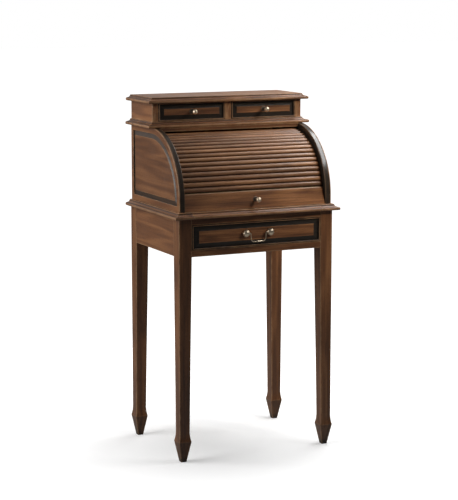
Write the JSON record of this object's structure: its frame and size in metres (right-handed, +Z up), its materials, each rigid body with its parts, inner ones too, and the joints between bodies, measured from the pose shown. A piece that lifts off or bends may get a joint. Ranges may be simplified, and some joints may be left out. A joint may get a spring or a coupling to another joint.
{
  "type": "roll top desk",
  "caption": "Small standing roll top desk on tapered spade-foot legs, with a tambour that rolls up into a curved case, a pull-out writing slide, a drawer under it and small drawers on top.",
  "frame": {"origin": "centre of the whole footprint, on the floor", "axes": "+Z up, +X to the right of a person sitting at the desk, +Y away from them towards the back; the drawers and the slide pull out along -Y"},
  "size_m": [0.56, 0.404, 1.104],
  "materials": {
    "walnut_brown": "satin lacquered reddish brown walnut with darker streaks and lighter worn edges",
    "ebonised_edge_wood": "brown walnut sides with ebonised glossy black curved edges, inner faces and panel band",
    "lining_wood": "plain unpolished inside wood",
    "canvas_cloth": "plain woven linen canvas",
    "antique_brass": "aged brass, darker in its hollows",
    "screw_steel": "plain steel, dulled"
  },
  "bodies": {
    "frame": {"apron_back": "walnut_brown", "apron_left": "walnut_brown", "apron_right": "walnut_brown", "back_screws": "screw_steel", "box_back": "lining_wood", "box_divider": "walnut_brown", "box_side_left": "walnut_brown", "box_side_right": "walnut_brown", "case_back": "lining_wood", "case_side_left": "ebonised_edge_wood", "case_side_right": "ebonised_edge_wood", "cornice_board": "walnut_brown", "dowels": "lining_wood", "drawer_runner_left": "lining_wood", "drawer_runner_right": "lining_wood", "fascia_rail": "walnut_brown", "inner_back": "lining_wood", "leg_back_left": "walnut_brown", "leg_back_right": "walnut_brown", "leg_front_left": "walnut_brown", "leg_front_right": "walnut_brown", "rail_above_drawer": "walnut_brown", "rail_below_drawer": "walnut_brown", "side_panel_left": "walnut_brown", "side_panel_right": "walnut_brown", "slide_bearer_left": "lining_wood", "slide_bearer_right": "lining_wood", "surface_back": "walnut_brown", "surface_side_left": "walnut_brown", "surface_side_right": "walnut_brown", "top_board": "walnut_brown"},
    "tambour": {"lift_rail": "walnut_brown", "rail_knob": "antique_brass", "rail_knob_screw": "screw_steel", "tambour_canvas": "canvas_cloth", "tambour_slats": "walnut_brown"},
    "main_drawer": {"main_drawer_back": "lining_wood", "main_drawer_bottom": "lining_wood", "main_drawer_front": "walnut_brown", "main_drawer_sides": "lining_wood", "pull_nuts": "antique_brass", "pull_post_left": "antique_brass", "pull_post_right": "antique_brass"},
    "drawer_bail": {"pull_bail": "antique_brass"},
    "writing_slide": {"slide_board": "walnut_brown", "slide_lipping": "walnut_brown"},
    "small_drawer_left": {"small_drawer_left_back": "lining_wood", "small_drawer_left_bottom": "lining_wood", "small_drawer_left_front": "walnut_brown", "small_drawer_left_sides": "lining_wood", "small_knob_left": "antique_brass", "small_knob_left_screw": "screw_steel"},
    "small_drawer_right": {"small_drawer_right_back": "lining_wood", "small_drawer_right_bottom": "lining_wood", "small_drawer_right_front": "walnut_brown", "small_drawer_right_sides": "lining_wood", "small_knob_right": "antique_brass", "small_knob_right_screw": "screw_steel"}
  },
  "joints": [
    {"name": "tambour_roll", "type": "hinge", "parent": "frame", "child": "tambour", "pos_m": [0, 0.033, 0.799], "axis": [-1, 0, 0], "range_deg": [0, 56]},
    {"name": "writing_slide_pull", "type": "slide", "parent": "frame", "child": "writing_slide", "axis": [0, -1, 0], "range_m": [0, 0.2]},
    {"name": "main_drawer_pull", "type": "slide", "parent": "frame", "child": "main_drawer", "axis": [0, -1, 0], "range_m": [0, 0.25]},
    {"name": "bail_swing", "type": "hinge", "parent": "main_drawer", "child": "drawer_bail", "pos_m": [0, -0.192, 0.6985], "axis": [-1, 0, 0], "range_deg": [-8, 100]},
    {"name": "small_drawer_left_pull", "type": "slide", "parent": "frame", "child": "small_drawer_left", "axis": [0, -1, 0], "range_m": [0, 0.1]},
    {"name": "small_drawer_right_pull", "type": "slide", "parent": "frame", "child": "small_drawer_right", "axis": [0, -1, 0], "range_m": [0, 0.1]}
  ]
}
